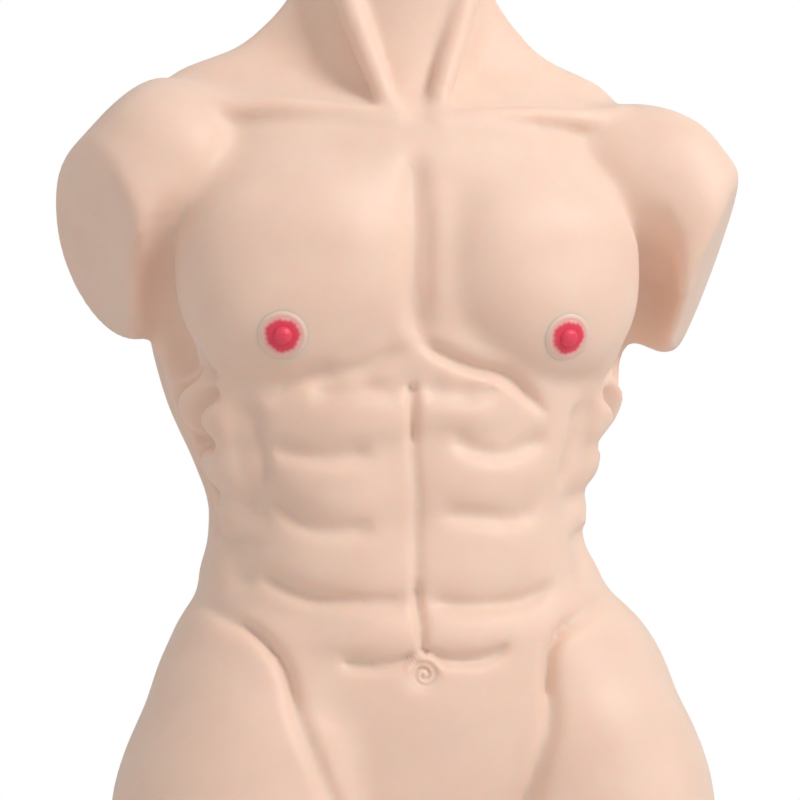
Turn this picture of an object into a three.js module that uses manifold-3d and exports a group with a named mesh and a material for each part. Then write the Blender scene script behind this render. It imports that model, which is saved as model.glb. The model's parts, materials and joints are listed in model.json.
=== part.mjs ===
// A life-size torso mannequin for striking and grappling practice: a soft one-piece skin over a foam
// core, on a steel frame that bends at the waist. Millimetres, +Z up, the chest faces -Y, and the
// torso stands on the two cut thighs at z = 0. +X is the mannequin's own left.

import * as THREE from 'three';
import { LoftGeometry } from 'three/addons/geometries/LoftGeometry.js';
import { RoundedBoxGeometry } from 'three/addons/geometries/RoundedBoxGeometry.js';
import { mergeVertices } from 'three/addons/utils/BufferGeometryUtils.js';
import Module from 'manifold-3d';

const wasm = await Module();
wasm.setup();

// ---------------------------------------------------------------- driving dimensions
const HEIGHT = 780;              // thigh cut to neck cut
const GAP = 0.3;                 // air left between pieces that touch
const SKIN = 20;                 // skin thickness over the foam
const WAIST_Z = 350;             // height of the bending axis
const WAIST_BAND = 100;          // height of the stretch of skin and foam that flexes
const SPINE_Y = 22;              // the frame lies behind the middle of the body
const FRONT_PACKING = 0.38;      // how much closer together the ring's points lie in front
const SHOULDER_Z = 612;          // height of the shoulder bar
const PELVIS_Z = 212;            // height of the pelvis bar

// Cross-sections of the trunk and neck: height, half width, front, back, squareness.
const TRUNK = [
  [HEIGHT, 62, -50, 66, 2.0],
  [755, 66, -49, 68, 2.0],
  [735, 80, -47, 71, 1.9],
  [718, 97, -47, 75, 1.8],
  [700, 124, -48, 80, 1.75],
  [680, 152, -52, 90, 1.9],
  [655, 168, -60, 100, 2.1],
  [625, 174, -72, 108, 2.3],
  [590, 177, -80, 111, 2.5],
  [550, 178, -86, 111, 2.6],
  [510, 173, -86, 108, 2.6],
  [470, 160, -84, 98, 2.5],
  [430, 143, -82, 86, 2.4],
  [387, 129, -80, 77, 2.3],
  [350, 140, -81, 80, 2.3],
  [310, 165, -84, 90, 2.3],
  [277, 183, -86, 100, 2.2],
  [240, 188, -84, 106, 2.1],
  [200, 178, -78, 106, 2.1],
  [160, 146, -64, 100, 2.1],
  [130, 104, -44, 82, 2.1],
  [104, 56, -18, 52, 2.0],
];

// Low mounds and hollows on the trunk, mirrored: face (-1 front, 1 back), across, up, spread across,
// spread up, lift.
const RELIEF = [
  [-1, 76, 552, 50, 38, 27],       // chest muscle
  [-1, 104, 574, 40, 34, 7],
  [-1, 0, 548, 9, 60, -7],         // cleft over the breastbone
  [-1, 36, 456, 23, 14, 8],        // four rows of belly muscle
  [-1, 37, 414, 24, 14, 9],
  [-1, 36, 367, 25, 17, 9],
  [-1, 34, 323, 24, 14, 9],
  [-1, 0, 400, 6, 90, -4],         // line down the middle of the belly
  [-1, 0, 295, 9, 8, -6],          // navel
  [-1, 0, 235, 60, 40, 6],         // lower belly
  [1, 82, 600, 44, 52, 9],         // shoulder blade
  [1, 96, 500, 38, 60, 7],         // broad back muscle
  [1, 26, 380, 16, 70, 5],         // muscles beside the spine
  [1, 0, 470, 11, 150, -10],       // groove of the spine
];

// Cross-sections of a thigh: height, centre across, centre along Y, half width, half depth.
const THIGH = [
  [0, 117, -5, 88, 85],
  [60, 119, -10, 92, 92],
  [120, 119, -14, 93, 97],
  [170, 118, -14, 94, 98],
  [220, 114, -12, 92, 95],
  [265, 104, -8, 82, 86],
  [305, 95, -1, 65, 71],
  [330, 88, 5, 44, 51],
];

// Rounded masses, given for the left side: centre, radii, turn about X, Y and Z in degrees.
const GLUTE = { at: [72, 38, 212], radii: [90, 80, 92], turn: [0, 0, -10] };
const SHOULDER = { at: [163, 3, 596], radii: [92, 61, 89], turn: [0, 6, 0] };

// The plane that cuts the upper arm: it faces out, forward and a little down.
const ARM_CUT_NORMAL = new THREE.Vector3(0.87, -0.39, -0.29).normalize();
const ARM_CUT_AT = new THREE.Vector3(208, 2, 584);

// Frame stock.
const TUBE_R = 12.5, TUBE_WALL = 3;
const POST_R = 10;
const HUB = [52, 44, 52];
const PLATE_T = 8;
const FOOT_R = 58, FOOT_AT = [118, -4];
const NECK_PLATE_R = 36, NECK_AT = [0, 8];
const KNEE_Z = 62;               // where a leg post turns upright
const SHOULDER_BAR_HALF = 140;   // half length of the bar across the shoulders
const PELVIS_BAR_HALF = 96;      // half length of the bar across the hips
const ARM_PLATE_R = 34, ARM_PLATE_T = 4;
const ARM_PLATE_COVER = 6;       // foam left between an arm plate and the skin
const BOLT_R = 6, BOLT_HEAD_R = 10, BOLT_HEAD_T = 6;
const BOLT_END = 34;             // depth of an end bolt's tip below its plate's face
const BUSH_END = 40;             // depth of a bush's inner end below the plate's face
const BUSH_POCKET = 46;          // depth of the bored end of a post
const COLLAR_T = 14;             // thickness of the hinge's round collars
const SPIGOT = 22;               // how far a collar's plug reaches into its tube

// Waist hinge.
const HINGE_R = 18;              // round ends of the fork's cheeks and of the tongue
const HINGE_ROOM_Y = 48;         // depth of the hollow that the hinge turns in
const TONGUE_T = 16, WASHER_T = 2, CHEEK_T = 8;

// Nipple inserts.
const NIPPLE_AT = [96, 508];     // across and up
const AREOLA_R = 14.5, AREOLA_T = 3;
const AREOLA_PROUD = 1.2;        // how far the disc stands out of the skin
const NIPPLE_R = 6.5, NIPPLE_H = 9;
const NIPPLE_OUT = [0.36, -0.93, 0.02];   // the left insert's outward direction

// ---------------------------------------------------------------- geometry helpers
const vec = (x, y, z) => new THREE.Vector3(x, y, z);
const UP = vec(0, 1, 0);

function solid(geometry, matrix = new THREE.Matrix4()) {
  const bare = new THREE.BufferGeometry().setAttribute('position', geometry.getAttribute('position').clone());
  bare.setIndex(geometry.index);
  bare.applyMatrix4(matrix);
  const merged = mergeVertices(bare, 1e-3);
  return new wasm.Manifold(new wasm.Mesh({
    numProp: 3,
    vertProperties: merged.attributes.position.array,
    triVerts: new Uint32Array(merged.index.array),
  }));
}

function geometryOf(manifold) {
  const mesh = manifold.getMesh();
  const geometry = new THREE.BufferGeometry();
  geometry.setAttribute('position', new THREE.BufferAttribute(mesh.vertProperties, 3));
  geometry.setIndex(new THREE.BufferAttribute(mesh.triVerts, 1));
  geometry.computeVertexNormals();
  return geometry;
}

const union = (...solids) => solids.reduce((sum, next) => sum.add(next));

function turned([x, y, z]) {
  const rad = THREE.MathUtils.degToRad;
  return new THREE.Quaternion().setFromEuler(new THREE.Euler(rad(x), rad(y), rad(z)));
}

function rod(from, to, radius, sides = 12) {
  const along = to.clone().sub(from);
  const turn = new THREE.Quaternion().setFromUnitVectors(UP, along.clone().normalize());
  const middle = from.clone().add(to).multiplyScalar(0.5);
  return solid(new THREE.CylinderGeometry(radius, radius, along.length(), sides),
    new THREE.Matrix4().compose(middle, turn, vec(1, 1, 1)));
}

function tube(from, to, radius, wall) {
  const past = to.clone().sub(from).normalize();
  return rod(from, to, radius).subtract(rod(from.clone().sub(past), to.clone().add(past), radius - wall));
}

// A rod with one bend, rounded at the outside of the bend.
function bent(from, bend, to, radius) {
  const knuckle = solid(new THREE.SphereGeometry(radius, 12, 6), new THREE.Matrix4().setPosition(bend));
  return union(rod(from, bend, radius), rod(bend, to, radius), knuckle);
}

function block(centre, [sx, sy, sz], bevel = 0) {
  const shape = bevel ? new RoundedBoxGeometry(sx, sy, sz, 1, bevel) : new THREE.BoxGeometry(sx, sy, sz);
  return solid(shape, new THREE.Matrix4().setPosition(centre));
}

// Cubic through a table of stations whose first column falls or rises with height.
function station(table, z) {
  const rows = [...table].sort((a, b) => a[0] - b[0]);
  const last = rows.length - 1;
  const i = Math.min(Math.max(rows.findIndex((row) => row[0] > z) - 1, 0), last - 1);
  const k = z >= rows[last][0] ? last - 1 : i;
  const slope = (n, c) => {
    const a = rows[Math.max(n - 1, 0)], b = rows[Math.min(n + 1, last)];
    return (b[c] - a[c]) / (b[0] - a[0]);
  };
  const [p, q] = [rows[k], rows[k + 1]];
  const h = q[0] - p[0], t = (z - p[0]) / h;
  return p.map((_, c) => (2 * t ** 3 - 3 * t ** 2 + 1) * p[c] + (t ** 3 - 2 * t ** 2 + t) * h * slope(k, c)
    + (3 * t ** 2 - 2 * t ** 3) * q[c] + (t ** 3 - t ** 2) * h * slope(k + 1, c));
}

// A ring of points on a superellipse, counterclockwise seen from above and closest together in front.
function ring(cx, cy, z, rx, ry, power, count, rise = () => 0) {
  return Array.from({ length: count }, (_, i) => {
    const u = (i / count) * 2 * Math.PI;
    const a = u - FRONT_PACKING * Math.cos(u);
    const [c, s] = [Math.cos(a), Math.sin(a)];
    const reach = (Math.abs(c) ** power + Math.abs(s) ** power) ** (-1 / power);
    const [x, y] = [rx * reach * c, ry * reach * s];
    const out = new THREE.Vector2(c * ry, s * rx).normalize();
    const up = rise(x, z, out.y);
    return vec(cx + x + out.x * up, cy + y + out.y * up, z);
  });
}

function heights(low, high, step) {
  const count = Math.ceil((high - low) / step);
  return Array.from({ length: count + 1 }, (_, i) => low + ((high - low) * i) / count);
}

// How far the relief lifts the surface at a place whose outward direction along Y is facing.
function lift(x, z, facing) {
  return RELIEF.reduce((sum, [face, across, up, wide, tall, rise]) => {
    const toward = Math.max(face * facing, 0);
    const bump = (cx) => Math.exp(-(((x - cx) / wide) ** 2 + ((z - up) / tall) ** 2) / 2);
    return sum + rise * Math.sqrt(toward) * (across ? bump(across) + bump(-across) : bump(0));
  }, 0);
}

const capped = { capStart: true, capEnd: true };

function trunk(levels, inset, count, rise) {
  return solid(new LoftGeometry(levels.map((z) => {
    const [, half, front, back, power] = station(TRUNK, z);
    return ring(0, (front + back) / 2, z, half - inset, (back - front) / 2 - inset, power, count, rise);
  }), capped));
}

function thigh(side, low, high, inset, count, step) {
  return solid(new LoftGeometry(heights(low, high, step).map((z) => {
    const [, cx, cy, rx, ry] = station(THIGH, z);
    return ring(side * cx, cy, z, rx - inset, ry - inset, 2, count);
  }), capped));
}

function mass(side, { at, radii, turn }, inset, wide = 16, high = 9) {
  const [x, y, z] = at, [tx, ty, tz] = turn;
  return solid(new THREE.SphereGeometry(1, wide, high), new THREE.Matrix4().compose(
    vec(side * x, y, z), turned([tx, side * ty, side * tz]), vec(...radii.map((r) => r - inset))));
}

// Everything beyond a plane, as a large box: the plane faces along normal.
function beyond(point, normal) {
  const reach = 400;
  const turn = new THREE.Quaternion().setFromUnitVectors(UP, normal);
  const centre = point.clone().addScaledVector(normal, reach / 2);
  const place = new THREE.Matrix4().compose(centre, turn, vec(1, 1, 1));
  return solid(new THREE.BoxGeometry(reach, reach, reach), place);
}

const sided = (side, v) => vec(side * v.x, v.y, v.z);

function armStump(side, inset) {
  const normal = sided(side, ARM_CUT_NORMAL);
  const cut = sided(side, ARM_CUT_AT).addScaledVector(normal, -inset);
  return mass(side, SHOULDER, inset, ...(inset ? [12, 7] : [20, 12])).subtract(beyond(cut, normal));
}

function slab(low, high) {
  return block(vec(0, 0, (low + high) / 2), [700, 700, high - low]);
}

// ---------------------------------------------------------------- materials
function material(color, roughness, metalness = 0) {
  return new THREE.MeshStandardMaterial({ color, roughness, metalness });
}

const SKIN_TONE = material(0xecd0bb, 0.55);
const AREOLA_TONE = material(0xe3b4ab, 0.5);
const NIPPLE_TONE = material(0xdb3f52, 0.5);
const FOAM = material(0xe8dfc4, 0.95);
const STEEL = material(0x8d9196, 0.4, 0.9);
const ZINC = material(0xb9bcc0, 0.35, 0.9);
const FRICTION = material(0x3a3430, 0.85);

const dummy = new THREE.Group();

function add(name, manifold, finish) {
  const mesh = new THREE.Mesh(geometryOf(manifold), finish);
  mesh.name = name;
  dummy.add(mesh);
}

// ---------------------------------------------------------------- the body's outside and the foam inside it
const SIDES = [['left', 1], ['right', -1]];

function outside() {
  const levels = [...heights(104, 290, 31), ...heights(304, 484, 15), ...heights(508, HEIGHT, 28)];
  const parts = [trunk(levels, 0, 36, lift)];
  for (const [, side] of SIDES) {
    parts.push(thigh(side, 0, 330, 0, 22, 42), armStump(side, 0), mass(side, GLUTE, 0));
  }
  return union(...parts);
}

function inside(inset) {
  const trim = inset - SKIN;
  const parts = [trunk(heights(150 + trim, 700 - trim, 55), inset, 16)];
  for (const [, side] of SIDES) {
    parts.push(thigh(side, SKIN + trim, 290 - trim, inset, 12, 68), armStump(side, inset));
  }
  return union(...parts);
}

const bandLow = WAIST_Z - WAIST_BAND / 2, bandHigh = WAIST_Z + WAIST_BAND / 2;
const body = outside();
const hollow = inside(SKIN);

// ---------------------------------------------------------------- steel frame
const spineTop = SHOULDER_Z - 16, spineFoot = PELVIS_Z + 16;
const forkBase = WAIST_Z + HINGE_R + 4, tongueBase = WAIST_Z - HINGE_R - 4;

const frame = new Map();
const build = (name, manifold, finish) => frame.set(name, { manifold, finish });

function cross(z, half) {
  return [vec(-half, SPINE_Y, z), vec(half, SPINE_Y, z)];
}

// A cast hub on a cross bar, bored for the bar and for the uprights above and below it.
function hub(z, above, below) {
  const centre = vec(0, SPINE_Y, z);
  const [a, b] = cross(z, HUB[0]);
  let made = block(centre, HUB, 5).subtract(rod(a, b, TUBE_R + GAP));
  const bore = TUBE_R + GAP;
  if (above) made = made.subtract(rod(vec(0, SPINE_Y, z + TUBE_R), vec(0, SPINE_Y, z + HUB[2]), bore));
  if (below) made = made.subtract(rod(vec(0, SPINE_Y, z - HUB[2]), vec(0, SPINE_Y, z - TUBE_R), bore));
  return made;
}

build('shoulder_bar', tube(...cross(SHOULDER_Z, SHOULDER_BAR_HALF), TUBE_R, TUBE_WALL), STEEL);
build('shoulder_hub', hub(SHOULDER_Z, false, true), STEEL);
build('pelvis_bar', tube(...cross(PELVIS_Z, PELVIS_BAR_HALF), TUBE_R, TUBE_WALL), STEEL);
build('pelvis_hub', hub(PELVIS_Z, true, false), STEEL);
build('upper_spine_tube',
  tube(vec(0, SPINE_Y, forkBase + COLLAR_T + GAP), vec(0, SPINE_Y, spineTop), TUBE_R, TUBE_WALL), STEEL);
build('lower_spine_tube',
  tube(vec(0, SPINE_Y, spineFoot), vec(0, SPINE_Y, tongueBase - COLLAR_T - GAP), TUBE_R, TUBE_WALL), STEEL);

// A plate let in flush with a cut face, a threaded bush in the end of its post, and a bolt from outside.
// The plate's outer face is at height face, and inward is 1 when the body lies above it.
function endFitting(name, [x, y], face, inward, plateR) {
  const at = (depth) => vec(x, y, face + inward * depth);
  const hole = rod(at(-1), at(PLATE_T + 1), BOLT_R + GAP).add(rod(at(-1), at(BOLT_HEAD_T), BOLT_HEAD_R + 1.5));
  build(`${name}_plate`, rod(at(0), at(PLATE_T), plateR, 24).subtract(hole), STEEL);
  build(`${name}_bush`, rod(at(PLATE_T + GAP), at(BUSH_END), TUBE_R - TUBE_WALL - GAP)
    .subtract(rod(at(0), at(60), BOLT_R + GAP)), ZINC);
  build(`${name}_bolt`, rod(at(1), at(BOLT_HEAD_T - GAP), BOLT_HEAD_R, 6)
    .add(rod(at(BOLT_HEAD_T - 2), at(BOLT_END), BOLT_R)), ZINC);
  return rod(at(0), at(BUSH_POCKET), TUBE_R - TUBE_WALL);
}

// The neck post stands on the hub's top face, leans forward and turns upright under its plate.
const hubTop = SHOULDER_Z + HUB[2] / 2;
const neckBase = vec(0, SPINE_Y, hubTop - 6), neckTurn = vec(...NECK_AT, HEIGHT - KNEE_Z);
const neckHead = vec(...NECK_AT, HEIGHT - PLATE_T - GAP);
const neckLine = (radius) => bent(neckBase, neckTurn, neckHead, radius);
build('neck_post', neckLine(TUBE_R).subtract(slab(hubTop - 60, hubTop + GAP))
  .subtract(endFitting('neck', NECK_AT, HEIGHT, -1, NECK_PLATE_R)), STEEL);

// Waist hinge: a tongue on the lower tube turns between the two cheeks of a fork on the upper tube.
const axisAt = (x) => vec(x, SPINE_Y, WAIST_Z);
const cheekIn = TONGUE_T / 2 + WASHER_T + 2 * GAP, cheekOut = cheekIn + CHEEK_T;

function eye(x0, x1, z) {
  const middle = (x0 + x1) / 2;
  return rod(axisAt(x0), axisAt(x1), HINGE_R, 16).add(
    block(vec(middle, SPINE_Y, (WAIST_Z + z) / 2), [x1 - x0, 2 * HINGE_R, Math.abs(WAIST_Z - z)]));
}

function collar(z, direction) {
  const foot = z + direction * COLLAR_T;
  return rod(vec(0, SPINE_Y, z), vec(0, SPINE_Y, foot), cheekOut, 16)
    .add(rod(vec(0, SPINE_Y, z), vec(0, SPINE_Y, foot + direction * SPIGOT), TUBE_R - TUBE_WALL - GAP));
}

const pinBore = rod(axisAt(-40), axisAt(40), BOLT_R + GAP);
build('hinge_fork', union(eye(cheekIn, cheekOut, forkBase + 1), eye(-cheekOut, -cheekIn, forkBase + 1),
  collar(forkBase, 1)).subtract(pinBore), ZINC);
build('hinge_tongue', eye(-TONGUE_T / 2, TONGUE_T / 2, tongueBase - 1).add(collar(tongueBase, -1))
  .subtract(pinBore), ZINC);
build('hinge_bolt', union(
  rod(axisAt(-cheekOut - GAP), axisAt(cheekOut + 14), BOLT_R),
  rod(axisAt(-cheekOut - GAP - BOLT_HEAD_T), axisAt(-cheekOut - GAP), BOLT_HEAD_R, 6),
), ZINC);
build('hinge_nut', rod(axisAt(cheekOut + GAP), axisAt(cheekOut + 10), BOLT_HEAD_R, 6)
  .subtract(rod(axisAt(cheekOut - 5), axisAt(cheekOut + 20), BOLT_R + GAP)), ZINC);
for (const [name, side] of SIDES) {
  const near = side * (TONGUE_T / 2 + GAP), far = side * (TONGUE_T / 2 + GAP + WASHER_T);
  build(`${name}_friction_washer`, rod(axisAt(near), axisAt(far), HINGE_R - 2, 16).subtract(pinBore), FRICTION);
}

// Arm posts and plates, and legs with their feet, one of each per side.
for (const [name, side] of SIDES) {
  const armFoot = vec(side * (SHOULDER_BAR_HALF - 2), SPINE_Y, SHOULDER_Z);
  const normal = sided(side, ARM_CUT_NORMAL);
  const armHead = sided(side, ARM_CUT_AT).addScaledVector(normal, -SKIN - ARM_PLATE_T - ARM_PLATE_COVER);
  const plateTop = armHead.clone().addScaledVector(normal, ARM_PLATE_T);
  build(`${name}_arm_post`, rod(armFoot, armHead, POST_R)
    .subtract(rod(...cross(SHOULDER_Z, SHOULDER_BAR_HALF + GAP), TUBE_R + GAP))
    .subtract(beyond(armHead.clone().addScaledVector(normal, -GAP), normal)), STEEL);
  build(`${name}_arm_plate`, rod(armHead, plateTop, ARM_PLATE_R, 20), STEEL);

  const hip = vec(side * PELVIS_BAR_HALF, SPINE_Y, PELVIS_Z);
  const foot = vec(side * FOOT_AT[0], FOOT_AT[1], PLATE_T + GAP);
  const knee = vec(foot.x, foot.y, KNEE_Z);
  build(`${name}_leg_post`, bent(hip, knee, foot, TUBE_R)
    .subtract(rod(...cross(PELVIS_Z, PELVIS_BAR_HALF + GAP), TUBE_R + GAP))
    .subtract(endFitting(`${name}_foot`, [foot.x, foot.y], 0, 1, FOOT_R)), STEEL);
}

// Room for the frame inside the foam and skin: each frame piece with its holes filled and a little air.
function roomFor() {
  const air = 2 * GAP;
  const parts = [
    rod(...cross(SHOULDER_Z, SHOULDER_BAR_HALF + 2), TUBE_R + air),
    rod(...cross(PELVIS_Z, PELVIS_BAR_HALF + 2), TUBE_R + air),
    rod(vec(0, SPINE_Y, spineFoot), vec(0, SPINE_Y, spineTop), TUBE_R + air),
    block(vec(0, SPINE_Y, SHOULDER_Z), HUB.map((s) => s + 2 * air)),
    block(vec(0, SPINE_Y, PELVIS_Z), HUB.map((s) => s + 2 * air)),
    neckLine(TUBE_R + air),
    rod(neckHead, vec(...NECK_AT, HEIGHT + 5), NECK_PLATE_R + GAP, 24),
  ];
  for (const [, side] of SIDES) {
    const normal = sided(side, ARM_CUT_NORMAL);
    const armHead = sided(side, ARM_CUT_AT).addScaledVector(normal, -SKIN - ARM_PLATE_T - ARM_PLATE_COVER);
    const plateBack = armHead.clone().addScaledVector(normal, -air);
    const plateFront = armHead.clone().addScaledVector(normal, ARM_PLATE_T + air);
    const foot = vec(side * FOOT_AT[0], FOOT_AT[1], 0);
    parts.push(
      rod(vec(side * (SHOULDER_BAR_HALF - 2), SPINE_Y, SHOULDER_Z), armHead, POST_R + air),
      rod(plateBack, plateFront, ARM_PLATE_R + air, 20),
      bent(vec(side * PELVIS_BAR_HALF, SPINE_Y, PELVIS_Z), vec(foot.x, foot.y, KNEE_Z), foot, TUBE_R + air),
      rod(vec(foot.x, foot.y, -5), vec(foot.x, foot.y, PLATE_T + GAP), FOOT_R + GAP, 24),
    );
  }
  return union(...parts);
}

const room = roomFor();
const hingeRoom = block(axisAt(0), [2 * cheekOut + 40, HINGE_ROOM_Y, WAIST_BAND + 20]);

// ---------------------------------------------------------------- skin and foam, parted at the waist band
const skin = body.subtract(hollow).subtract(room).subtract(hingeRoom);
const foam = inside(SKIN + GAP).subtract(room).subtract(hingeRoom);

const BANDS = [
  ['chest', slab(bandHigh + GAP / 2, HEIGHT + 40)],
  ['waist', slab(bandLow + GAP / 2, bandHigh - GAP / 2)],
  ['pelvis', slab(-40, bandLow - GAP / 2)],
];

// The skin's foremost point at a place across and up, found by halving.
function surfacePoint(x, z) {
  let [inY, outY] = [-20, -200];
  for (let i = 0; i < 30; i++) {
    const y = (inY + outY) / 2;
    const probe = block(vec(x, y, z), [0.02, 0.02, 0.02]);
    if (probe.intersect(body).volume() > 0) inY = y; else outY = y;
  }
  return vec(x, outY, z);
}

// A nipple insert is a round disc let into the skin with a small button at its middle.
const pockets = [];
for (const [name, side] of SIDES) {
  const [x, z] = NIPPLE_AT;
  const out = sided(side, vec(...NIPPLE_OUT).normalize());
  const front = surfacePoint(side * x, z);
  const at = (depth) => front.clone().addScaledVector(out, depth);
  const top = AREOLA_PROUD, base = AREOLA_PROUD - AREOLA_T;
  pockets.push(rod(at(base - GAP), at(top + 12), AREOLA_R + GAP, 24));
  build(`${name}_areola`, rod(at(base), at(top), AREOLA_R, 24), AREOLA_TONE);
  build(`${name}_nipple`, rod(at(top + GAP), at(top + GAP + NIPPLE_H), NIPPLE_R, 16), NIPPLE_TONE);
}

for (const [name, band] of BANDS) {
  const cutSkin = name === 'chest' ? skin.subtract(union(...pockets)) : skin;
  add(`${name}_skin`, cutSkin.intersect(band), SKIN_TONE);
  add(`${name}_core`, foam.intersect(band), FOAM);
}
for (const [name, { manifold, finish }] of frame) add(name, manifold, finish);

export default dummy;
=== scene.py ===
"""Looks of a life-size torso mannequin: soft skin, foam core and steel frame, bending at the waist.

The body is one distance field in millimetres (+Z up, the chest faces -Y, +X is the mannequin's own
left), meshed once. Trunk, thighs, neck, arms, chest muscles and buttocks are blended into it, and
the finer muscle relief is laid over it as creases and mounds. Lights and camera are in metres.
"""

import json
import math

import bmesh
import bpy
import numpy as np
import openvdb
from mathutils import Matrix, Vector

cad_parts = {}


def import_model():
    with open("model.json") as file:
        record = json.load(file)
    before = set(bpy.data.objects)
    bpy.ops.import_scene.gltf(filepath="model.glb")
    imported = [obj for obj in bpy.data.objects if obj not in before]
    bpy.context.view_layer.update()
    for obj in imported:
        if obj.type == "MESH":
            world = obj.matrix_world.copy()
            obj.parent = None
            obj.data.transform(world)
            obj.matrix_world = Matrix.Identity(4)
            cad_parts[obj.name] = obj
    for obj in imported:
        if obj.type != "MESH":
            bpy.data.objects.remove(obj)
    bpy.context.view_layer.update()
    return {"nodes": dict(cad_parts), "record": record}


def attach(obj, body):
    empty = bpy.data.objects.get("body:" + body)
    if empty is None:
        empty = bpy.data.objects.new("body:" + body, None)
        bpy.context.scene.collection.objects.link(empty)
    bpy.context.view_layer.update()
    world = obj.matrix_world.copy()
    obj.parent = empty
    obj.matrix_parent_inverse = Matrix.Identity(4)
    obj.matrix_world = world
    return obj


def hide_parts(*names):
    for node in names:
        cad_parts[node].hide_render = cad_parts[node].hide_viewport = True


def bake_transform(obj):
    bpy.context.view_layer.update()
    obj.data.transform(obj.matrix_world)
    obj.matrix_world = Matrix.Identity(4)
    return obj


MM = 0.001
HEIGHT = 780.0                               # thigh cut to neck cut

# The meshes: grid steps, and the corners of the box that each field is sampled in.
CELL, QUICK_CELL, FOAM_CELL = 3.3, 5.0, 9.0
BODY_BOX = ((-262, -134, -6), (262, 134, 786))
FOAM_BOX = ((-240, -120, 0), (240, 120, 760))

# Colours of the skin and of the areola's two zones.
SKIN_COLOR = (0.865, 0.645, 0.525)
PALE_PINK = (0.85, 0.50, 0.44)
NIPPLE_RED = (0.80, 0.055, 0.105)

# Navel and nipples: across and up, on the front.
NAVEL = (-4, 294)
NAVEL_R, NAVEL_SPLITS = 24, 2                # the mesh is split twice within this distance of it
NIPPLE = {1: (92, 511), -1: (-95, 511)}      # left and right
AREOLA_R, NIPPLE_R, BUTTON_H = 15.8, 6.2, 4.6
RED_R = (12.2, 9.4)                          # the red fades between these distances
RIM_R = 12.5                                 # beyond this the pink fades into the skin
CHEST_Y = (-20.0, -130.0)                    # the chest's skin lies between these along Y
DISC_POINTS = 64                             # points in each ring of an insert

# The foam: skin thickness over it, the gap under the skin, and where it ends.
SKIN, FOAM_GAP = 20.0, 4
FOAM_TOP, FOAM_CROTCH, FOAM_THIGH_TOP = 656, 174, 276
FOAM_THIGH_SOFT = 14

# Where the masses end: trunk between the thighs, thighs inside the trunk, neck inside the chest.
CROTCH, THIGH_TOP, NECK_FOOT = 112, 345, 620

# How softly each mass blends into the body, and the rims of the flat cuts, in millimetres.
CROTCH_SOFT, NECK_SOFT, ARM_SOFT, GLUTE_SOFT, PEC_LOW_SOFT, CUT_SOFT = 34, 16, 14, 18, 24, 6
# Where the softness changes with height: (height, softness) below and above.
THIGH_SOFT = ((262, 8), (335, 34))
PEC_SOFT = ((585, 5), (625, 18))

# The relief of the front and of the back each fade in between these places along Y.
FRONT_FADE, BACK_FADE = (10, -30), (-10, 30)

# Trunk cross-sections, with the trapezius at the top: height, half width, then front, widest place
# and back along Y, squareness.
TRUNK = [
    (100, 40, -12, 8, 40, 2.0),
    (130, 102, -44, 8, 66, 2.1),
    (160, 142, -64, 2, 78, 2.1),
    (200, 172, -77, -8, 86, 2.1),
    (240, 184, -84, -14, 88, 2.1),
    (277, 178, -88, -12, 88, 2.2),
    (310, 163, -87, -2, 85, 2.3),
    (335, 146, -84, 4, 84, 2.35),
    (352, 136, -82, 8, 80, 2.4),
    (370, 128, -80, 16, 77, 2.5),
    (390, 128, -80, 22, 77, 2.5),
    (430, 140, -81, 26, 86, 2.5),
    (470, 157, -83, 26, 98, 2.5),
    (510, 168, -85, 26, 108, 2.6),
    (550, 170, -89, 22, 111, 2.6),
    (590, 168, -86, 18, 111, 2.5),
    (622, 164, -76, 16, 107, 2.3),
    (645, 160, -64, 16, 100, 2.1),
    (657, 158, -55, 16, 95, 2.0),
    (668, 160, -40, 16, 89, 1.9),
    (680, 162, -22, 18, 84, 1.8),
    (695, 150, -8, 20, 79, 1.8),
    (712, 112, -4, 20, 76, 1.8),
    (730, 90, -2, 18, 73, 1.8),
    (755, 71, 0, 16, 70, 1.9),
    (800, 62, 2, 16, 68, 2.0),
]

# Neck cross-sections: height, half width, front, back.
NECK = [
    (620, 44, -38, 50),
    (655, 46, -36, 58),
    (675, 45, -33, 60),
    (700, 50, -30, 62),
    (725, 54, -31, 64),
    (755, 56, -36, 66),
    (800, 58, -44, 68),
]

# Thigh cross-sections: height, centre across, centre along Y, half width, half depth.
THIGH = [
    (-20, 118, -6, 88, 84),
    (60, 120, -12, 90, 92),
    (120, 121, -16, 89, 97),
    (170, 121, -16, 88, 98),
    (220, 117, -14, 86, 94),
    (265, 107, -10, 77, 86),
    (305, 96, -2, 62, 70),
    (330, 88, 4, 42, 50),
    (345, 84, 10, 12, 20),
]

# How far the hips sway towards the mannequin's left, and the heights it fades between.
SWAY = 9.0
SWAY_TOP, SWAY_FOOT = (370, 300), (40, 180)

# Rounded masses of the left side: centre, radii, turn about X, Y and Z in degrees, squareness.
PEC = ((78, -36, 558), (79, 61, 68), (0, 0, 14), 2.5)
PEC_LOW = ((88, -40, 524), (48, 50, 48), (0, 0, 24), 2.2)
GLUTE = ((72, 38, 212), (90, 80, 92), (0, 0, -10), 2.0)

# The left upper arm: two balls joined up, the plane that cuts it and the one that slopes its top.
# A plane is its outward direction, a point on it and the rounding of its rim.
UPPER_ARM = [(160, 2, 627, 59), (203, 4, 566, 61)]
ARM_CUT = ((0.87, -0.39, -0.36), (223, 0, 618), 9)
ARM_TOP = ((0.7, -0.05, 0.71), (217, 0, 649), 12)
# How far the left and the right arm are moved out, along Y and up. The right arm's move turns into
# the left one's over the first range across. The move out and along Y grows over the second range.
ARM_SHIFT = {1: (17.0, -12.0, -7.0), -1: (0.0, 0.0, 0.0)}
ARM_SIDES, ARM_REACH = (-60, 60), (140, 215)

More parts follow.
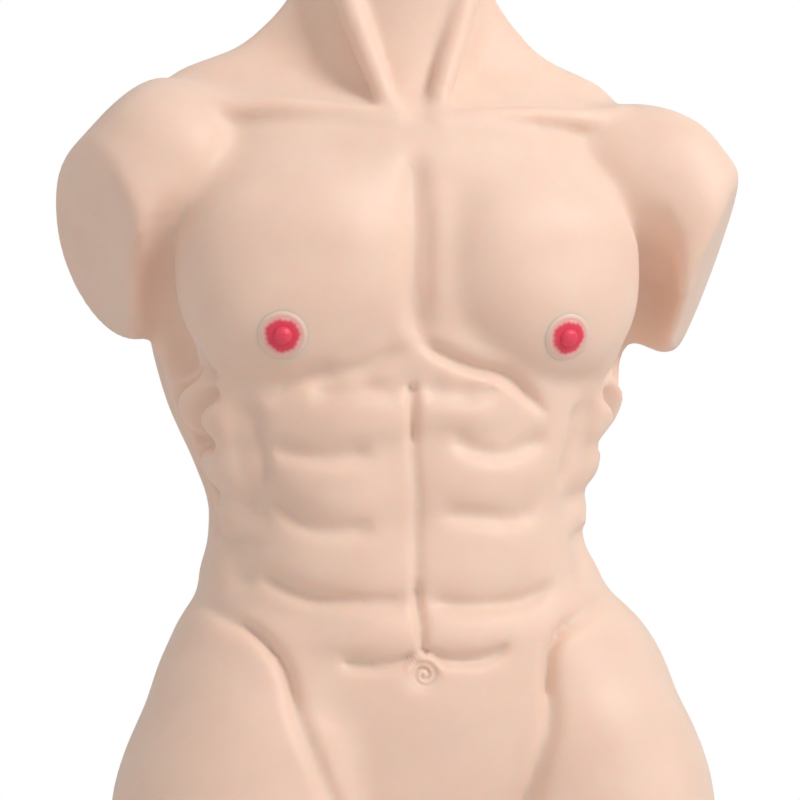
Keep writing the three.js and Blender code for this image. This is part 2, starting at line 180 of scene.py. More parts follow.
# Ribs and side muscles, the same on both sides, in the forms of CREASES and MOUNDS. The first number
# of each place is the arc around the trunk from its front: SIDE_ARC times the angle about SIDE_CENTRE.
SIDE_ARC = 140.0
SIDE_CENTRE = 10            # along Y
SIDE_FADE = (186, 172)      # out from the middle; the relief leaves the arms smooth
SIDE_CREASES = [
    ([(166, 524), (168, 504), (165, 490), (157, 482)], 9, 7, False),
    ([(168, 494), (182, 487), (199, 478), (208, 464), (208, 448), (196, 437)], 8, 14, False),
    ([(158, 478), (170, 472), (181, 461), (184, 447), (174, 436)], 8, 12, False),
    ([(176, 444), (200, 438), (206, 428), (204, 416), (188, 402)], 8, 12, False),
    ([(196, 404), (202, 394), (188, 380)], 10, 6, False),
    ([(232, 512), (232, 470), (230, 436), (226, 404), (214, 380)], 14, 7, False),
    ([(140, 470), (142, 452), (140, 430), (136, 410)], 10, 5, False),
]
SIDE_MOUNDS = [
    ((152, 498), (13, 13), 0, 5, 3, False),
    ((188, 464), (15, 16), 0, 5, 3, False),
    ((166, 457), (13, 14), 0, 5, 3, False),
    ((188, 424), (15, 12), 0, 5, 3, False),
    ((162, 422), (14, 14), 0, 5, 3, False),
    ((184, 392), (16, 9), 0, 4, 3, False),
    ((208, 366), (44, 18), 0, 4, 3, False),
]

# The plates let into the cuts: centre across and along Y, radius of the pocket; and the pockets' depth.
NECK_PLATE = (0, 8, 36.7)
FOOT_PLATE = (118, -4, 58.7)
POCKET = 8.6

# Tendons and bones under the skin of the left side: points with a radius, and how softly they blend.
CLAVICLE = ([(15, -50, 654, 8), (45, -48, 659, 7), (85, -42, 662, 7), (122, -33, 662, 8),
             (150, -24, 664, 9)], 8)
NECK_TENDON = ([(15, -46, 655, 7), (20, -39, 676, 7), (28, -31, 700, 8), (36, -25, 724, 9),
                (42, -21, 746, 9), (50, -10, 800, 11)], 8)
# The hollow under the left arm, cut away in the same form.
ARMPIT = ([(157, -80, 606, 9), (161, -56, 574, 18), (163, -32, 542, 25), (162, -18, 506, 26)], 12)

# Creases on the front: points (across, up), width, depth, and whether the other side has one too.
CREASES = [
    # breastbone cleft and the fold under each chest muscle
    ([(-4, 636), (-7, 600), (-7, 577), (-8, 545), (-6, 522), (-4, 500)], 13, 8, False),
    ([(2, 600), (0, 570), (0, 545), (-2, 520)], 6, 3, False),
    ([(-8, 512), (8, 502), (30, 492), (56, 485), (72, 472), (84, 458)], 7, 8, False),
    ([(-8, 510), (-28, 497), (-52, 488), (-78, 484), (-106, 466)], 9, 5, False),
    # chest muscle against the shoulder
    ([(-116, 660), (-122, 636), (-134, 616), (-148, 597), (-158, 578)], 16, 2, True),
    # line down the belly and the rows across it
    ([(-9, 482), (-9, 444), (-6, 405), (-7, 367), (-6, 328), (-5, 309)], 6, 3.5, False),
    ([(-9, 484), (-9, 462), (-8, 438)], 5, 6, False),
    ([(-7, 356), (-6, 332), (-5, 308)], 5, 6, False),
    ([(-78, 472), (-50, 476), (-12, 474)], 10, 3, False),
    ([(-4, 474), (22, 474), (50, 478)], 10, 3, False),
    ([(-102, 443), (-83, 436), (-61, 433), (-32, 438)], 9, 5, False),
    ([(14, 449), (32, 438), (50, 435), (68, 440), (88, 447)], 9, 5, False),
    ([(-100, 413), (-88, 399), (-76, 389), (-58, 386), (-30, 390)], 9, 5, False),
    ([(6, 397), (34, 395), (60, 392), (82, 400)], 9, 4, False),
    ([(-110, 361), (-88, 349), (-70, 342), (-52, 341), (-28, 340), (-8, 343)], 8, 6, False),
    ([(-4, 341), (24, 337), (48, 337), (68, 339), (92, 350)], 8, 6, False),
    ([(-60, 304), (-34, 300), (-15, 304), (-5, 308)], 6, 5, False),
    ([(-5, 308), (22, 302), (45, 306), (56, 314)], 6, 5, False),
    # outer edges of the belly muscles
    ([(-116, 480), (-117, 450), (-112, 421), (-106, 402), (-98, 386)], 12, 5, True),
    ([(-112, 384), (-116, 366), (-110, 346)], 12, 4, True),
    # fold where each thigh meets the belly
    ([(-148, 344), (-128, 330), (-111, 321), (-98, 309), (-90, 294), (-86, 272), (-75, 243), (-62, 213),
      (-46, 178)], 8, 5, False),
    ([(140, 342), (126, 334), (112, 327), (94, 319), (84, 306), (82, 290), (82, 262), (76, 238),
      (66, 208), (52, 178)], 8, 6, False),
    ([(-122, 328), (-106, 318), (-94, 303), (-88, 286), (-85, 266)], 5, 8, False),
    ([(108, 326), (94, 318), (85, 305), (82, 288), (82, 268)], 5, 8, False),
]

# Mounds on the front: centre (across, up), spread (across, up), turn, height, squareness, mirrored.
MOUNDS = [
    ((-42, 457), (26, 12), 0, 5, 2.6, False),
    ((25, 462), (22, 11), 0, 5, 2.6, False),
    ((-60, 414), (33, 17), -8, 7, 2.8, False),
    ((42, 418), (31, 17), 8, 7, 2.8, False),
    ((-56, 366), (38, 19), -6, 8, 2.8, False),
    ((42, 366), (37, 20), 6, 8, 2.8, False),
    ((-38, 322), (27, 13), 0, 7, 2.8, False),
    ((30, 321), (25, 12), 0, 7, 2.8, False),
    ((-8, 232), (68, 62), 0, 10, 4, False),
    # small hollows under the breastbone
    ((-66, 480), (8, 6), 0, -3, 2, False),
    ((-38, 481), (6, 5), 0, -2, 2, False),
    ((-10, 479), (7, 5), 0, -3, 2, False),
    ((8, 479), (6, 5), 0, -2.5, 2, False),
    ((26, 473), (7, 6), 0, -3, 2, False),
]

# Spine, cleft, folds under the buttocks and shoulder blades, in the same forms.
BACK_CREASES = [
    ([(0, 640), (0, 560), (0, 480), (0, 400), (0, 330), (0, 290)], 15, 9, False),
    ([(0, 276), (0, 240), (0, 190), (0, 150), (0, 104)], 13, 9, False),
    ([(26, 132), (60, 122), (100, 124), (138, 140)], 14, 9, True),
    ([(52, 600), (58, 560), (80, 530), (118, 522)], 16, 6, True),
]

BACK_MOUNDS = [
    ((86, 592), (42, 46), -12, 8, 3, True),
    ((38, 640), (30, 40), 10, 5, 3, True),
    ((30, 400), (15, 70), -4, 6, 3, True),
    ((104, 490), (40, 54), 14, 6, 3, True),
]

# The floor's radius, points around its rim and height.
FLOOR_R, FLOOR_POINTS, FLOOR_Z = 760, 96, -0.3

# The camera: lens and sensor, turn about the torso in degrees, distance and height in metres.
LENS, SENSOR = 81.5, 36
EYE_TURN, EYE_REACH, EYE_HEIGHT = -12, 1.25, 0.470

# The lights: place, size and watts. Both aim at the same point. Then the light from all around.
KEY_LIGHT = ((1.3, -1.6, 1.9), (1.0, 1.0), 35)
FILL_LIGHT = ((-1.8, -1.6, 1.0), (1.6, 1.6), 4)
LIGHT_AIM = (0, 0, 0.5)
AMBIENT, AMBIENT_COLOR = 0.53, (1.0, 0.98, 0.97, 1)


# ------------------------------------------------------------------ field helpers
def curve(table, z):
    """Smooth interpolation of a table's columns at each height."""
    rows = np.array(table, float)
    knots, values = rows[:, 0], rows[:, 1:]
    slope = np.gradient(values, knots, axis=0)
    k = np.clip(np.searchsorted(knots, z) - 1, 0, len(knots) - 2)
    h = (knots[k + 1] - knots[k])[..., None]
    t = np.clip((z - knots[k]) / h[..., 0], 0, 1)[..., None]
    return ((2 * t**3 - 3 * t**2 + 1) * values[k] + (t**3 - 2 * t**2 + t) * h * slope[k]
            + (3 * t**2 - 2 * t**3) * values[k + 1] + (t**3 - t**2) * h * slope[k + 1])


def columns(table, z):
    """Each of a table's columns at each height."""
    return np.moveaxis(curve(table, z), -1, 0)


def smooth_min(a, b, k):
    """The lesser of two, rounded over where they are within k of each other."""
    h = np.clip(0.5 + 0.5 * (b - a) / k, 0, 1)
    return b + (a - b) * h - k * h * (1 - h)


def smooth_max(a, b, k):
    return -smooth_min(-a, -b, k)


def smoothstep(low, high, v):
    t = np.clip((v - low) / (high - low), 0, 1)
    return t * t * (3 - 2 * t)


def softness_at(z, low, high):
    """Softness at each height, between two pairs of height and softness."""
    return low[1] + (high[1] - low[1]) * smoothstep(low[0], high[0], z)


def oval(x, y, half, deep, power):
    """Rough distance to a superellipse around the vertical axis."""
    x, y = np.abs(x) + 1e-3, np.abs(y) + 1e-3
    r = ((x / half) ** power + (y / deep) ** power) ** (1 / power)
    gx = (x / half) ** (power - 1) / half
    gy = (y / deep) ** (power - 1) / deep
    return (r - 1) / (r ** (1 - power) * np.hypot(gx, gy) + 1e-9)


def rotation(turn):
    """The matrix that turns about X, then Y, then Z, by degrees."""
    a, b, c = np.radians(turn)
    rx = np.array([[1, 0, 0], [0, np.cos(a), -np.sin(a)], [0, np.sin(a), np.cos(a)]])
    ry = np.array([[np.cos(b), 0, np.sin(b)], [0, 1, 0], [-np.sin(b), 0, np.cos(b)]])
    rz = np.array([[np.cos(c), -np.sin(c), 0], [np.sin(c), np.cos(c), 0], [0, 0, 1]])
    return rz @ ry @ rx


def blob(x, y, z, at, radii, turn=(0, 0, 0), power=2.0):
    """Rough distance to a turned ellipsoid, boxier as power rises above 2."""
    m = rotation(turn)
    p = (x - at[0], y - at[1], z - at[2])
    q = [np.abs(p[0] * m[0, i] + p[1] * m[1, i] + p[2] * m[2, i]) / radii[i] + 1e-4 for i in range(3)]
    if power == 2.0:
        r = np.sqrt(q[0] ** 2 + q[1] ** 2 + q[2] ** 2)
        slope = np.sqrt(sum((q[i] / radii[i]) ** 2 for i in range(3))) / r
    else:
        r = (q[0] ** power + q[1] ** power + q[2] ** power) ** (1 / power)
        slope = np.sqrt(sum((q[i] ** (power - 1) / radii[i]) ** 2 for i in range(3))) * r ** (1 - power)
    return (r - 1) / slope


def chain(x, y, z, points):
    """Distance to a line of balls joined up: each point is a centre and a radius."""
    best = None
    for (ax, ay, az, ar), (bx, by, bz, br) in zip(points, points[1:]):
        dx, dy, dz = bx - ax, by - ay, bz - az
        t = ((x - ax) * dx + (y - ay) * dy + (z - az) * dz) / (dx * dx + dy * dy + dz * dz)
        t = np.clip(t, 0, 1)
        off = np.sqrt((x - ax - t * dx) ** 2 + (y - ay - t * dy) ** 2 + (z - az - t * dz) ** 2)
        d = off - ar - t * (br - ar)
        best = d if best is None else np.minimum(best, d)
    return best


def resampled(points, step=2.0):
    """A smooth line through a few points, as closely spaced points."""
    p = np.array(points, float)
    along = np.concatenate([[0], np.cumsum(np.linalg.norm(np.diff(p, axis=0), axis=1))])
    s = np.linspace(0, along[-1], max(int(along[-1] / step), 4))
    return curve(np.column_stack([along, p]), s), s / along[-1]


# ------------------------------------------------------------------ relief
def crease(x, z, points, width, depth):
    """A groove along a line, fading at both ends."""
    line, along = resampled(points)
    out = np.zeros(np.broadcast(x, z).shape)
    low, high = line.min(0) - 4 * width, line.max(0) + 4 * width
    inside = (x > low[0]) & (x < high[0]) & (z > low[1]) & (z < high[1])
    xi = np.broadcast_to(x, out.shape)[inside]
    zi = np.broadcast_to(z, out.shape)[inside]
    if len(xi) == 0:
        return out
    best = np.full(len(xi), 1e9)
    where = np.zeros(len(xi))
    for (px, pz), t in zip(line, along):
        d = (xi - px) ** 2 + (zi - pz) ** 2
        closer = d < best
        best[closer] = d[closer]
        where[closer] = t
    fade = smoothstep(-0.02, 0.2, where) * smoothstep(-0.02, 0.2, 1 - where)
    out[inside] = -depth * fade * np.exp(-best / (2 * (0.5 * width) ** 2))
    return out


def mound(x, z, at, spread, turn, height, squareness):
    """A low cushion, a little steeper below than above."""
    a = math.radians(turn)
    u = (x - at[0]) * math.cos(a) + (z - at[1]) * math.sin(a)
    v = -(x - at[0]) * math.sin(a) + (z - at[1]) * math.cos(a)
    tall = spread[1] * (1.05 + 0.25 * np.tanh(v / spread[1]))
    r = np.sqrt((u / spread[0]) ** 2 + (v / tall) ** 2)
    return height * np.exp(-0.5 * r**squareness)


def relief(x, z, creases, mounds):
    """Creases and mounds together. Creases that cross add up as squares, so that no pit forms."""
    squares = 0
    for points, width, depth, both in creases:
        squares = squares + crease(x, z, points, width, depth) ** 2
        if both:
            squares = squares + crease(x, z, [(-a, b) for a, b in points], width, depth) ** 2
    total = -np.sqrt(squares)
    for at, spread, turn, height, squareness, both in mounds:
        total = total + mound(x, z, at, spread, turn, height, squareness)
        if both:
            total = total + mound(x, z, (-at[0], at[1]), spread, -turn, height, squareness)
    return total


def navel(x, z):
    """A shallow bowl holding a small spiral knot, with a brow over it and a pit under the brow."""
    u, v = x - NAVEL[0], z - NAVEL[1]
    r = np.hypot(u, v)
    turn = np.arctan2(v, u)
    bowl = -5.0 * np.exp(-((r / 9.5) ** 2))
    spiral = 1.1 * np.sin(r * 1.45 - turn) * np.exp(-((r / 7.5) ** 4))
    knot = 2.2 * np.exp(-((r / 2.6) ** 2))
    brow = 2.2 * np.exp(-(((r - 11) / 2.6) ** 2)) * smoothstep(-0.3, 0.8, v / (r + 1e-3))
    pit = -4.5 * np.exp(-(((u - 1) / 4.0) ** 2) - ((v - 15.5) / 2.6) ** 2)
    return bowl + spiral + knot + brow + pit


def front_relief(x, z):
    return relief(x, z, CREASES, MOUNDS) + navel(x, z)


def back_relief(x, z):
    return relief(x, z, BACK_CREASES, BACK_MOUNDS)


def side_relief(ax, y, z):
    """Ribs and side muscles, laid around the trunk and not over the arms."""
    around = SIDE_ARC * np.arctan2(ax, SIDE_CENTRE - y)
    return smoothstep(*SIDE_FADE, ax) * relief(around, z, SIDE_CREASES, SIDE_MOUNDS)


# ------------------------------------------------------------------ the body
def plane_distance(x, y, z, out, at):
    """Distance past a plane through a point, facing out."""
    n = np.array(out) / np.linalg.norm(out)
    return (x - at[0]) * n[0] + (y - at[1]) * n[1] + (z - at[2]) * n[2]


def arm_field(x, y, z):
    """Both upper arms, each moved as ARM_SHIFT says, more towards its outer end."""
    ax = np.abs(x)
    left = smoothstep(*ARM_SIDES, x)
    reach = smoothstep(*ARM_REACH, ax)
    across, ahead, up = [left * ARM_SHIFT[1][i] + (1 - left) * ARM_SHIFT[-1][i] for i in range(3)]
    ax, y, z = ax - reach * across, y - reach * ahead, z - up
    f = chain(ax, y, z, UPPER_ARM)
    for out, at, rim in (ARM_TOP, ARM_CUT):
        f = smooth_max(f, plane_distance(ax, y, z, out, at), rim)
    return f


def trunk_field(x, y, z):
    """The trunk's cross-sections, with one depth ahead of the widest place and another behind."""
    half, front, widest, back, power = columns(TRUNK, z)
    y = y - widest
    deep = np.where(y < 0, widest - front, back - widest)
    return oval(x, y, half, deep, power)


def hips_field(x, y, z):
    """Trunk and thighs."""
    x = x - SWAY * smoothstep(*SWAY_TOP, z) * smoothstep(*SWAY_FOOT, z)
    trunk = smooth_max(trunk_field(x, y, z), CROTCH - z, CROTCH_SOFT)
    cx, cy, rx, ry = columns(THIGH, z)
    thigh = np.maximum(oval(np.abs(x) - cx, y - cy, rx, ry, 2.0), z - THIGH_TOP)
    return smooth_min(trunk, thigh, softness_at(z, *THIGH_SOFT))


def neck_field(x, y, z):
    half, front, back = columns(NECK, z)
    return np.maximum(oval(x, y - (front + back) / 2, half, (back - front) / 2, 2.0), NECK_FOOT - z)


def body_field(x, y, z):
    """Rough signed distance to the body, negative inside."""
    ax = np.abs(x)
    f = smooth_min(hips_field(x, y, z), neck_field(x, y, z), NECK_SOFT)
    f = f - side_relief(ax, y, z)
    f = smooth_min(f, arm_field(x, y, z), ARM_SOFT)
    hollow, softness = ARMPIT
    f = smooth_max(f, -chain(ax, y, z, hollow), softness)
    pec = smooth_min(blob(ax, y, z, *PEC), blob(ax, y, z, *PEC_LOW), PEC_LOW_SOFT)
    f = smooth_min(f, pec, softness_at(z, *PEC_SOFT))
    f = smooth_min(f, blob(ax, y, z, *GLUTE), GLUTE_SOFT)
    for line, softness in (CLAVICLE, NECK_TENDON):
        f = smooth_min(f, chain(ax, y, z, line), softness)
    f = f - smoothstep(*FRONT_FADE, y) * front_relief(x, z)
    return f - smoothstep(*BACK_FADE, y) * back_relief(x, z)


def grid_mesh(field, low, high, cell):
    """Points and quads over the field's zero surface inside a box."""
    axes = [np.arange(a, b + cell, cell) for a, b in zip(low, high)]
    x, y, z = axes[0][:, None, None], axes[1][None, :, None], axes[2][None, None, :]
    values = field(x, y, z).astype(np.float32)
    grid = openvdb.FloatGrid(1e3)
    grid.copyFromArray(values, (0, 0, 0), 0.0)
    points, quads = grid.convertToQuads(0.0)
    return points * cell + np.array([a[0] for a in axes]), quads


def settle(points, field, rounds=4):
    """Moves points onto the field's zero surface, down its slope and a little way in each round."""
    e, most, least_slope = 0.5, 3, 0.3
    for _ in range(rounds):
        x, y, z = points.T
        here = field(x, y, z)
        g = np.column_stack([field(x + e, y, z) - here, field(x, y + e, z) - here,
                             field(x, y, z + e) - here]) / e
        g /= np.maximum((g**2).sum(1, keepdims=True), least_slope)
        points = points - np.clip(here, -most, most)[:, None] * g
    return points


def plate_room(x, y, z):
    """Distance to the shallow pockets that the neck plate and the foot plates lie in."""
    neck = np.hypot(x - NECK_PLATE[0], y - NECK_PLATE[1]) - NECK_PLATE[2]
    foot = np.hypot(np.abs(x) - FOOT_PLATE[0], y - FOOT_PLATE[1]) - FOOT_PLATE[2]
    return np.minimum(np.maximum(neck, HEIGHT - POCKET - z), np.maximum(foot, z - POCKET))


def cut_flat(field):
    """The same field with flat cuts at the neck and the thighs, and pockets for their plates."""
    def cut(x, y, z):
        f = smooth_max(field(x, y, z), z - HEIGHT, CUT_SOFT)
        f = smooth_max(f, -z, CUT_SOFT)
        return np.maximum(f, -plate_room(x, y, z))
    return cut


def split_edges(thing, at, radius):
    """Splits the faces around a place on the front, given across and up."""
    mesh = bmesh.new()
    mesh.from_mesh(thing.data)
    x, z = at[0] * MM, at[1] * MM
    near = {v for v in mesh.verts if v.co.y < 0 and math.hypot(v.co.x - x, v.co.z - z) < radius * MM}
    edges = [e for e in mesh.edges if all(v in near for v in e.verts)]
    bmesh.ops.subdivide_edges(mesh, edges=edges, cuts=1, use_grid_fill=True)
    mesh.to_mesh(thing.data)
    mesh.free()


def refine(thing, at, radius, times):
    """Makes the mesh finer around a place on the front and lays the new points on the field."""
    for _ in range(times):
        split_edges(thing, at, radius)
    mesh = thing.data
    places = np.empty(len(mesh.vertices) * 3, np.float32)
    mesh.vertices.foreach_get("co", places)
    places = places.reshape(-1, 3).astype(float) / MM
    near = (places[:, 1] < 0) & (np.hypot(places[:, 0] - at[0], places[:, 2] - at[1]) < radius)
    places[near] = settle(places[near], cut_flat(body_field))
    mesh.vertices.foreach_set("co", (places * MM).astype(np.float32).ravel())
    mesh.polygons.foreach_set("use_smooth", np.ones(len(mesh.polygons), bool))
    mesh.update()


def body_mesh():
    field = cut_flat(body_field)
    points, quads = grid_mesh(field, *BODY_BOX, CELL)
    return settle(points, field), quads


def new_object(name, points, faces, material):
    """A smooth object in the scene, from points in millimetres."""
    mesh = bpy.data.meshes.new(name)
    mesh.from_pydata((np.asarray(points) * MM).tolist(), [], [list(map(int, f)) for f in faces])
    mesh.polygons.foreach_set("use_smooth", np.ones(len(mesh.polygons), bool))
    mesh.materials.append(material)
    mesh.update()
    thing = bpy.data.objects.new(name, mesh)
    bpy.context.collection.objects.link(thing)
    return thing


# ------------------------------------------------------------------ inserts and foam
def surface_front(x, z, field):
    """Where the chest's skin lies along Y at each place across and up."""
    near, far = np.full(x.shape, CHEST_Y[0]), np.full(x.shape, CHEST_Y[1])
    for _ in range(24):
        y = (near + far) / 2
        inside = field(x, y, z) < 0
        near, far = np.where(inside, y, near), np.where(inside, far, y)
    return (near + far) / 2


def disc_mesh(radii, count=DISC_POINTS):
    """Points of a disc in rings from its middle, and its faces."""
    turn = np.linspace(0, 2 * math.pi, count, endpoint=False)
    points = [(0.0, 0.0)] + [(r * math.cos(a), r * math.sin(a)) for r in radii for a in turn]
    faces = [(0, 1 + i, 1 + (i + 1) % count) for i in range(count)]
    for ring in range(len(radii) - 1):
        a, b = 1 + ring * count, 1 + (ring + 1) * count
        faces += [(a + i, b + i, b + (i + 1) % count, a + (i + 1) % count) for i in range(count)]
    return np.array(points), faces


def frame_at(side, field):
    """A nipple's place on the skin and the directions across, up and out of the skin there."""
    x, z = np.array([NIPPLE[side][0]], float), np.array([NIPPLE[side][1]], float)
    y = surface_front(x, z, field)
    e = 3.0
    dx = (surface_front(x + e, z, field) - surface_front(x - e, z, field)) / (2 * e)
    dz = (surface_front(x, z + e, field) - surface_front(x, z - e, field)) / (2 * e)
    out = np.array([dx[0], -1.0, dz[0]])
    out /= np.linalg.norm(out)
    across = np.cross((0, 0, 1), -out)
    across /= np.linalg.norm(across)
    return np.array([x[0], y[0], z[0]]), across, np.cross(out, across), out


def insert(name, side, field, radii, height, material, node, lump=0.0):
    """A round insert that follows the skin and rises above it by height(radius), with lumps."""
    flat, faces = disc_mesh(radii)
    at, across, up, out = frame_at(side, field)
    place = at + flat[:, :1] * across + flat[:, 1:] * up
    r = np.hypot(flat[:, 0], flat[:, 1])
    x, z = place[:, 0], place[:, 2]
    skin = np.column_stack([x, surface_front(x, z, field), z])
    rise = height(r)
    if lump:
        turn = np.arctan2(flat[:, 1], flat[:, 0])
        rise = rise + lump * np.sin(3 * turn + side) * np.sin(1.3 * r + 2 * turn)
    thing = new_object(name, skin + rise[:, None] * out, faces, material)
    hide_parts(node)
    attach(thing, "chest")
    return thing


def paint(thing, shade):
    """Stores a colour at each point of an object."""
    layer = thing.data.color_attributes.new("tint", "FLOAT_COLOR", "POINT")
    colors = np.column_stack([shade, np.ones(len(shade))])
    layer.data.foreach_set("color", colors.astype(np.float32).ravel())


def areola_shade(radii):
    """Red around the button with a ragged edge, then pale pink, then skin."""
    flat, _ = disc_mesh(radii)
    r, turn = np.hypot(*flat.T), np.arctan2(flat[:, 1], flat[:, 0])
    ragged = 0.4 * np.sin(3 * turn) + 0.3 * np.sin(7 * turn + 1.3) + 0.3 * np.sin(19 * turn + 0.4)
    red = smoothstep(*RED_R, r + ragged)[:, None]
    pink = smoothstep(AREOLA_R, RIM_R, r)[:, None]
    color = np.array(SKIN_COLOR) * (1 - pink) + np.array(PALE_PINK) * pink
    return color * (1 - red) + np.array(NIPPLE_RED) * red


def areola_height(r):
    """The disc stands a little proud, with a faint ring before its edge."""
    ring = 0.35 * np.exp(-(((r - 13.2) / 0.9) ** 2))
    return 0.15 + 0.5 * smoothstep(AREOLA_R, AREOLA_R - 1.2, r) + 0.8 * smoothstep(RIM_R, 9, r) + ring


def button_height(r):
    """A button with a flattish top and steep sides."""
    return 0.6 + BUTTON_H * np.sqrt(np.clip(1 - (r / NIPPLE_R) ** 2.6, 0, 1))


def nipples(field):
    """An areola disc and a nipple button on each side."""
    areola_skin, red = areola_material(), nipple_material()
    disc_rings, button_rings = np.linspace(0.7, AREOLA_R, 26), np.linspace(0.4, NIPPLE_R, 18)
    for side, word in ((1, "left"), (-1, "right")):
        disc = insert(f"{word}_areola_disc", side, field, disc_rings,
                      areola_height, areola_skin, f"{word}_areola")
        paint(disc, areola_shade(disc_rings))
        button = insert(f"{word}_nipple_button", side, field, button_rings,
                        button_height, red, f"{word}_nipple", lump=0.16)


def foam_field(x, y, z):
    """Trunk, thighs and arms alone, drawn in by the skin and the gap under it."""
    inset = SKIN + FOAM_GAP
    f = np.maximum(trunk_field(x, y, z), FOAM_CROTCH - inset - z)
    f = np.maximum(f, z - FOAM_TOP - inset)
    cx, cy, rx, ry = columns(THIGH, z)
    thigh = np.maximum(oval(np.abs(x) - cx, y - cy, rx, ry, 2.0), z - FOAM_THIGH_TOP - inset)
    f = smooth_min(f, thigh, FOAM_THIGH_SOFT)
    f = np.minimum(f, arm_field(x, y, z))
    return np.maximum(f + inset, SKIN - z)


def foam_core():
    """One foam core inside the skin."""
    points, quads = grid_mesh(foam_field, *FOAM_BOX, FOAM_CELL)
    core = new_object("foam_core", points, quads, foam_material())
    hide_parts("chest_core", "waist_core", "pelvis_core")
    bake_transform(core)


# ------------------------------------------------------------------ materials
def principled(name, color, roughness, **extra):
    """A new material; extra names more inputs of its shader, with _ for a space."""
    material = bpy.data.materials.new(name)
    material.use_nodes = True
    shader = material.node_tree.nodes["Principled BSDF"]
    shader.inputs["Base Color"].default_value = (*color, 1)
    shader.inputs["Roughness"].default_value = roughness
    for key, value in extra.items():
        shader.inputs[key.replace("_", " ")].default_value = value
    return material


def noise(nodes, links, scale):
    """Noise over the object's own space, with about this many bumps to the metre."""
    place = nodes.new("ShaderNodeTexCoord")
    texture = nodes.new("ShaderNodeTexNoise")
    texture.inputs["Scale"].default_value = scale
    texture.inputs["Detail"].default_value = 3.0
    links.new(place.outputs["Object"], texture.inputs["Vector"])
    return texture.outputs["Fac"]


def tinted(material, color, other, scale):
    """Mixes the base colour from two colours by noise."""
    nodes, links = material.node_tree.nodes, material.node_tree.links
    ramp = nodes.new("ShaderNodeValToRGB")
    for stop, at, shade in zip(ramp.color_ramp.elements, (0.35, 0.65), (color, other)):
        stop.position = at
        stop.color = (*shade, 1)
    links.new(noise(nodes, links, scale), ramp.inputs["Fac"])
    links.new(ramp.outputs["Color"], nodes["Principled BSDF"].inputs["Base Color"])


def bumpy(material, scale, strength, distance):
    """Roughens the surface by noise, without moving it."""
    nodes, links = material.node_tree.nodes, material.node_tree.links
    bump = nodes.new("ShaderNodeBump")
    bump.inputs["Strength"].default_value = strength
    bump.inputs["Distance"].default_value = distance
    links.new(noise(nodes, links, scale), bump.inputs["Height"])
    links.new(bump.outputs["Normal"], nodes["Principled BSDF"].inputs["Normal"])


def skin_material():
    material = principled("soft_skin", SKIN_COLOR, 0.52, Subsurface_Weight=1.0,
                          Subsurface_Scale=0.005)
    shader = material.node_tree.nodes["Principled BSDF"]
    shader.inputs["Subsurface Radius"].default_value = (1.0, 0.43, 0.28)
    paler = tuple(1.03 * c for c in SKIN_COLOR)
    redder = tuple(c * k for c, k in zip(SKIN_COLOR, (0.99, 0.98, 0.97)))
    tinted(material, redder, paler, 26)
    bumpy(material, 1400, 0.12, 0.0004)
    return material


def areola_material():
    """Takes its colour from the points of the disc."""
    material = principled("areola_tint", (0.80, 0.50, 0.44), 0.5, Subsurface_Weight=0.4,
                          Subsurface_Scale=0.003)
    nodes, links = material.node_tree.nodes, material.node_tree.links
    tint = nodes.new("ShaderNodeVertexColor")
    tint.layer_name = "tint"
    links.new(tint.outputs["Color"], nodes["Principled BSDF"].inputs["Base Color"])
    return material


def nipple_material():
    return principled("nipple_red", (0.85, 0.06, 0.115), 0.45, Subsurface_Weight=0.3,
                      Subsurface_Scale=0.002)


def foam_material():
    material = principled("core_foam", (0.80, 0.74, 0.58), 0.95)
    tinted(material, (0.76, 0.69, 0.52), (0.84, 0.79, 0.64), 60)
    bumpy(material, 700, 0.6, 0.001)
    return material


def steel_material():
    material = principled("powder_coat", (0.40, 0.42, 0.44), 0.42, Metallic=0.3)
    bumpy(material, 1800, 0.25, 0.0002)
    return material


def zinc_material():
    material = principled("zinc_plate", (0.62, 0.63, 0.64), 0.34, Metallic=1.0)
    tinted(material, (0.55, 0.56, 0.57), (0.68, 0.69, 0.70), 180)
    return material


def friction_material():
    material = principled("friction_lining", (0.05, 0.045, 0.04), 0.85)
    bumpy(material, 900, 0.5, 0.0003)
    return material


def dress(frame):
    """Gives each metal and lining piece of the frame the material of its slot."""
    looks = {"steel": steel_material(), "zinc": zinc_material(), "friction": friction_material()}
    for part in frame["record"]["subparts"]:
        material = looks.get(part["material_slot"])
        thing = frame["nodes"][part["node"]]
        if material and thing.material_slots:
            for slot in thing.material_slots:
                slot.material = material
        elif material:
            thing.data.materials.append(material)


# ------------------------------------------------------------------ scene
def softbox(name, at, size, watts):
    light = bpy.data.lights.new(name, "AREA")
    light.shape = "RECTANGLE"
    light.size, light.size_y = size
    light.energy = watts
    lamp = bpy.data.objects.new(name, light)
    lamp.location = at
    lamp.rotation_euler = (Vector(LIGHT_AIM) - Vector(at)).to_track_quat("-Z", "Y").to_euler()
    bpy.context.collection.objects.link(lamp)


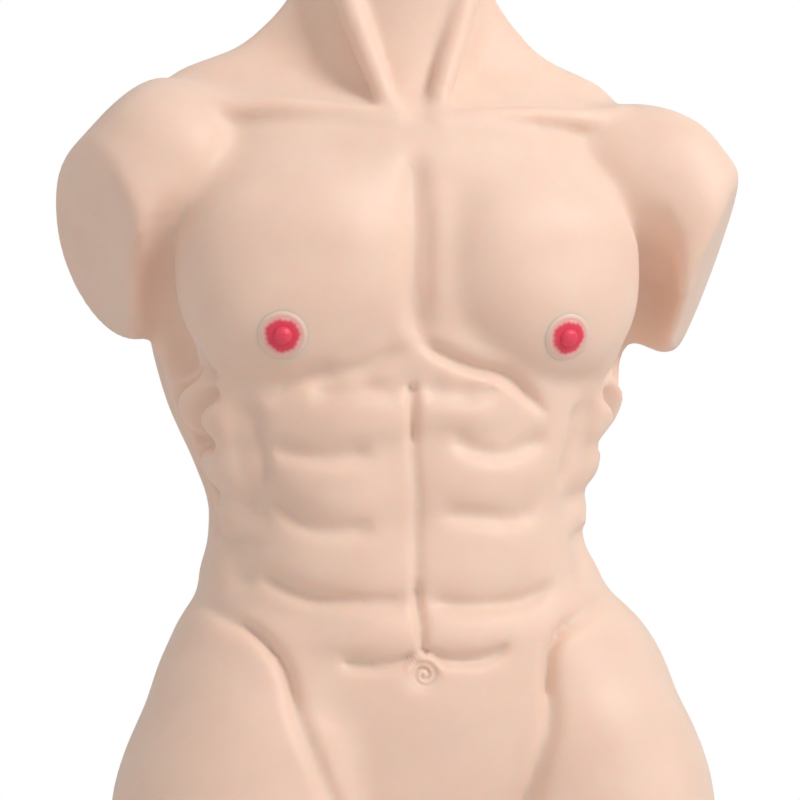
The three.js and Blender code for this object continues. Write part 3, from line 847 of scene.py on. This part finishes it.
def camera():
    data = bpy.data.cameras.new("camera")
    data.lens, data.sensor_width = LENS, SENSOR
    turn = math.radians(EYE_TURN)
    eye = bpy.data.objects.new("camera", data)
    eye.location = (EYE_REACH * math.sin(turn), -EYE_REACH * math.cos(turn), EYE_HEIGHT)
    eye.rotation_euler = (math.pi / 2, 0, turn)
    bpy.context.collection.objects.link(eye)
    bpy.context.scene.camera = eye


def floor():
    """A pale disc under the torso."""
    material = principled("pale_floor", (0.80, 0.80, 0.80), 0.9)
    turn = np.linspace(0, 2 * math.pi, FLOOR_POINTS, endpoint=False)
    rim = np.column_stack([FLOOR_R * np.cos(turn), FLOOR_R * np.sin(turn), np.full(turn.shape, FLOOR_Z)])
    disc = new_object("floor", rim, [list(range(FLOOR_POINTS))], material)


def world():
    """White behind the torso, and an even, slightly warm light around it."""
    scene = bpy.context.scene
    scene.world = bpy.data.worlds.new("white")
    scene.world.use_nodes = True
    nodes, links = scene.world.node_tree.nodes, scene.world.node_tree.links
    seen = nodes["Background"]
    seen.inputs["Color"].default_value = (1, 1, 1, 1)
    around = nodes.new("ShaderNodeBackground")
    around.inputs["Color"].default_value = AMBIENT_COLOR
    around.inputs["Strength"].default_value = AMBIENT
    ray = nodes.new("ShaderNodeLightPath")
    mix = nodes.new("ShaderNodeMixShader")
    links.new(ray.outputs["Is Camera Ray"], mix.inputs["Fac"])
    links.new(around.outputs["Background"], mix.inputs[1])
    links.new(seen.outputs["Background"], mix.inputs[2])
    links.new(mix.outputs["Shader"], nodes["World Output"].inputs["Surface"])
    scene.view_settings.view_transform = "Standard"


def body_skin():
    """One skin over the whole body."""
    points, quads = body_mesh()
    skin = new_object("body_skin", points, quads, skin_material())
    refine(skin, NAVEL, NAVEL_R, NAVEL_SPLITS)
    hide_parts("chest_skin", "waist_skin", "pelvis_skin")
    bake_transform(skin)


def main():
    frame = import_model()
    body_skin()
    nipples(body_field)
    foam_core()
    dress(frame)
    floor()
    world()
    camera()
    softbox("key", *KEY_LIGHT)
    softbox("fill", *FILL_LIGHT)


main()
